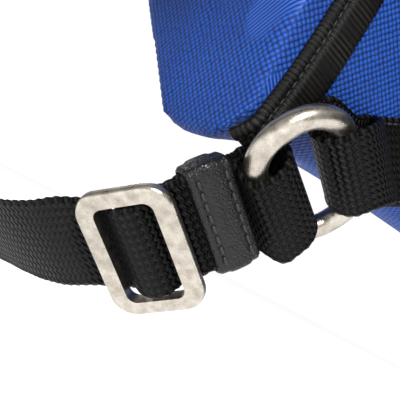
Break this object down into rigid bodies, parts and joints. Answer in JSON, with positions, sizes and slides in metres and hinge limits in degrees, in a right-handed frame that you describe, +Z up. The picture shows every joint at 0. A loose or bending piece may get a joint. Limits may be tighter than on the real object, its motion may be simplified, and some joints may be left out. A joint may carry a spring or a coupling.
{
  "type": "avalanche airbag backpack",
  "caption": "Blue nylon snow pack with a stowed airbag and gas inflator, metal ring-and-slider strap fittings with leather keepers, padded shoulder straps, hip belt and pull handle",
  "frame": {"origin": "underside of the haul loop at its middle, where a hook or hand carries the pack", "axes": "+Z up along the pack, +Y away from the wearer (the pack front), +X to the wearer left"},
  "size_m": [0.3816, 0.3481, 0.5815],
  "materials": {
    "shell_nylon": "blue basket-weave nylon",
    "panel_nylon": "blue basket-weave nylon",
    "binding_tape": "ribbed black grosgrain",
    "spacer_mesh": "black spacer mesh over foam",
    "black_webbing": "black woven webbing",
    "strap_fabric": "black nylon over foam",
    "antique_metal": "cast metal, satin antique nickel",
    "black_leather": "pebbled black leather, stitched",
    "black_plastic": "moulded black nylon",
    "trigger_red": "moulded red",
    "zip_tape": "coil zip on black tape",
    "zip_metal": "black enamelled",
    "aluminium_stay": "flat bar",
    "cylinder_paint": "plain cylinder",
    "gauge_body": "gauge case",
    "airbag_fabric": "thin orange coated nylon, folded",
    "hose_rubber": "black hose"
  },
  "bodies": {
    "pack": {"back_pad_left": "spacer_mesh", "back_pad_right": "spacer_mesh", "back_panel": "panel_nylon", "bag_shell": "shell_nylon", "cable_grommet": "black_plastic", "compression_buckles_left": "black_plastic", "compression_buckles_right": "black_plastic", "compression_straps_left": "black_webbing", "compression_straps_right": "black_webbing", "cylinder_strap": "black_webbing", "edge_binding": "binding_tape", "folded_airbag": "airbag_fabric", "frame_sheet": "black_plastic", "frame_stays": "aluminium_stay", "gas_cylinder": "cylinder_paint", "gas_hose": "hose_rubber", "haul_anchor_left": "black_webbing", "haul_anchor_right": "black_webbing", "haul_loop": "black_webbing", "inflator_head": "black_plastic", "lower_tab_left": "black_webbing", "lower_tab_right": "black_webbing", "lumbar_pad": "spacer_mesh", "pocket_zip_tape": "zip_tape", "pressure_gauge": "gauge_body", "side_zip_tape": "zip_tape", "tool_pocket": "shell_nylon", "trigger_cable": "hose_rubber", "yoke_anchor_left": "black_webbing", "yoke_anchor_right": "black_webbing"},
    "strap_right": {"shoulder_pad_right": "strap_fabric", "lower_strap_right": "black_webbing", "strap_ring_right": "antique_metal", "leather_keeper_right": "black_leather", "slider_buckle_right": "antique_metal", "sternum_anchor_right": "black_plastic"},
    "strap_left": {"shoulder_pad_left": "strap_fabric", "lower_strap_left": "black_webbing", "strap_ring_left": "antique_metal", "leather_keeper_left": "black_leather", "slider_buckle_left": "antique_metal", "sternum_anchor_left": "black_plastic", "trigger_holder": "black_plastic"},
    "trigger": {"trigger_handle": "trigger_red"},
    "cover": {"airbag_cover": "shell_nylon"},
    "side_zip": {"side_zip_slider": "zip_metal"},
    "pocket_zip": {"pocket_zip_slider": "zip_metal"},
    "sternum_left": {"sternum_strap_left": "black_webbing", "sternum_buckle_socket": "black_plastic"},
    "sternum_right": {"sternum_strap_right": "black_webbing", "sternum_buckle_plug": "black_plastic"},
    "belt_left": {"hip_wing_left": "strap_fabric", "belt_webbing_left": "black_webbing", "belt_buckle_socket": "black_plastic"},
    "belt_right": {"hip_wing_right": "strap_fabric", "belt_webbing_right": "black_webbing", "belt_buckle_plug": "black_plastic"}
  },
  "joints": [
    {"name": "strap_swing_right", "type": "hinge", "parent": "pack", "child": "strap_right", "pos_m": [-0.11011, -0.03251, -0.51476], "axis": [0.1234, 0.014, 0.9923], "range_deg": [-0.5, 2.5]},
    {"name": "strap_swing_left", "type": "hinge", "parent": "pack", "child": "strap_left", "pos_m": [0.11011, -0.03251, -0.51476], "axis": [-0.1234, 0.014, 0.9923], "range_deg": [-2.5, 0.5]},
    {"name": "trigger_pull", "type": "slide", "parent": "strap_left", "child": "trigger", "axis": [0, 0, -1], "range_m": [0, 0.024]},
    {"name": "cover_hinge", "type": "hinge", "parent": "pack", "child": "cover", "pos_m": [0, 0.0908, -0.0754], "axis": [-1, 0, 0], "range_deg": [0, 100]},
    {"name": "side_zip_travel", "type": "slide", "parent": "pack", "child": "side_zip", "axis": [0, 0, 1], "range_m": [-0.13, 0]},
    {"name": "pocket_zip_travel", "type": "slide", "parent": "pack", "child": "pocket_zip", "axis": [1, 0, 0], "range_m": [-0.1, 0]},
    {"name": "sternum_turn_left", "type": "hinge", "parent": "strap_left", "child": "sternum_left", "pos_m": [0.03874, -0.117, -0.1968], "axis": [0, 0, 1], "range_deg": [-20, 60]},
    {"name": "sternum_turn_right", "type": "hinge", "parent": "strap_right", "child": "sternum_right", "pos_m": [-0.03874, -0.117, -0.1968], "axis": [0, 0, -1], "range_deg": [-20, 60]},
    {"name": "belt_turn_left", "type": "hinge", "parent": "pack", "child": "belt_left", "pos_m": [0.058, -0.0305, -0.4728], "axis": [0, 0, 1], "range_deg": [0, 50]},
    {"name": "belt_turn_right", "type": "hinge", "parent": "pack", "child": "belt_right", "pos_m": [-0.058, -0.0305, -0.4728], "axis": [0, 0, -1], "range_deg": [0, 50]}
  ]
}
